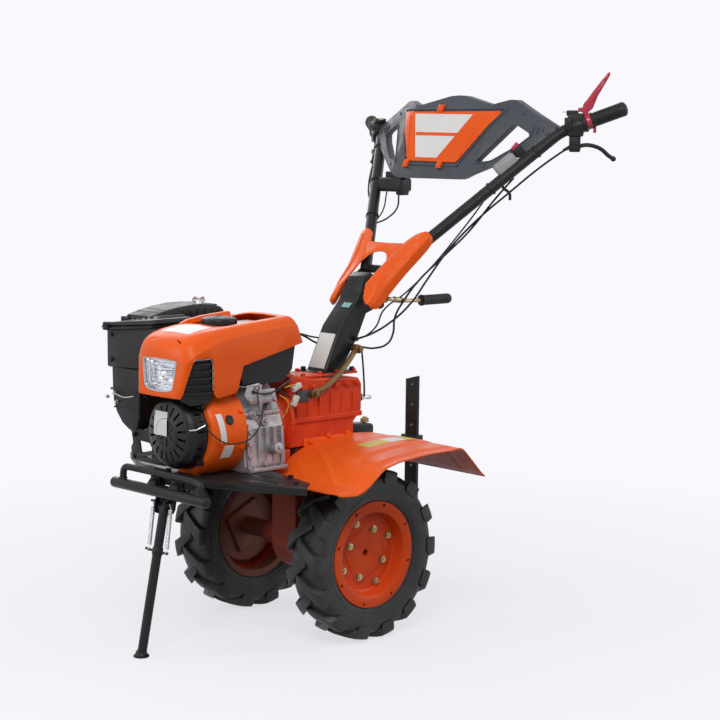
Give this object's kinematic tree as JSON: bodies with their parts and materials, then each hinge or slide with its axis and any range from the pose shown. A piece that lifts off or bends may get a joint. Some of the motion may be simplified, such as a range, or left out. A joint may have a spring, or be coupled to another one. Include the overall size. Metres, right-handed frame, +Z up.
{
  "type": "two-wheel power weeder",
  "caption": "Walk-behind power weeder with petrol engine, gear case, lugged wheels, fenders, front prop stand and a V-shaped tilting handlebar.",
  "frame": {"origin": "middle of the machine's box on the ground, under the engine", "axes": "+X forward, +Y to the machine's left, +Z up"},
  "size_m": [1.3566, 1.0134, 1.5216],
  "materials": {
    "black_paint": "satin black paint",
    "orange_casting": "orange-red paint on a cast surface",
    "orange_paint": "glossy orange paint",
    "cast_aluminium": "bare die-cast",
    "black_plastic": "moulded black plastic",
    "clear_lens": "clear moulded lens",
    "slate_plastic": "dark slate moulded plastic",
    "grip_rubber": "ribbed black rubber",
    "tyre_rubber": "black tyre rubber",
    "zinc_plate": "yellow zinc plate",
    "spring_steel": "bright spring steel",
    "red_plastic": "glossy red"
  },
  "bodies": {
    "chassis": {"gearbox_case": "orange_casting", "axle_case": "orange_casting", "clutch_housing": "orange_casting", "crankcase": "cast_aluminium", "cylinder": "cast_aluminium", "valve_cover": "black_paint", "blower_housing": "orange_paint", "recoil_starter": "black_plastic", "engine_hood": "orange_paint", "hood_vents": "black_plastic", "headlight": "clear_lens", "fuel_tank": "black_paint", "fuel_cap": "black_plastic", "air_cleaner_box": "black_plastic", "air_cleaner_lid": "black_plastic", "carburettor": "cast_aluminium", "muffler": "black_paint", "front_frame": "black_paint", "deck_plate": "black_paint", "front_bumper": "black_paint", "stand_bracket": "black_paint", "left_fender": "orange_paint", "right_fender": "orange_paint", "handle_column": "black_paint", "shift_arm": "zinc_plate", "gear_lever": "zinc_plate", "gear_lever_grip": "black_plastic", "hitch_socket": "black_paint", "depth_bar": "black_paint", "clutch_cable": "black_plastic"},
    "left_wheel": {"left_tyre": "tyre_rubber", "left_rim": "orange_paint", "left_hub": "orange_casting"},
    "right_wheel": {"right_tyre": "tyre_rubber", "right_rim": "orange_paint", "right_hub": "orange_casting"},
    "front_stand": {"stand_leg": "black_paint", "stand_spring_left": "spring_steel", "stand_spring_right": "spring_steel"},
    "handlebar": {"handle_fork": "black_paint", "handle_cover": "orange_paint", "dash_frame": "slate_plastic", "dash_panel": "orange_paint", "left_grip": "grip_rubber", "right_grip": "grip_rubber", "left_clamp": "black_plastic", "right_clamp": "black_plastic", "left_steering_lever": "black_paint", "right_steering_lever": "black_paint", "clutch_lever": "red_plastic", "switch_box": "slate_plastic"}
  },
  "joints": [
    {"name": "left_wheel_spin", "type": "hinge", "parent": "chassis", "child": "left_wheel", "pos_m": [0.0965, 0, 0.23], "axis": [0, 1, 0], "continuous": true},
    {"name": "right_wheel_spin", "type": "hinge", "parent": "chassis", "child": "right_wheel", "pos_m": [0.0965, 0, 0.23], "axis": [0, 1, 0], "continuous": true},
    {"name": "stand_fold", "type": "hinge", "parent": "chassis", "child": "front_stand", "pos_m": [0.5835, 0, 0.379], "axis": [0, 1, 0], "range_deg": [0, 85], "deforming": ["stand_spring_left", "stand_spring_right"]},
    {"name": "handlebar_tilt", "type": "hinge", "parent": "chassis", "child": "handlebar", "pos_m": [-0.1255, 0, 0.925], "axis": [0, 1, 0], "range_deg": [-28, 4], "deforming": ["clutch_cable"]}
  ]
}
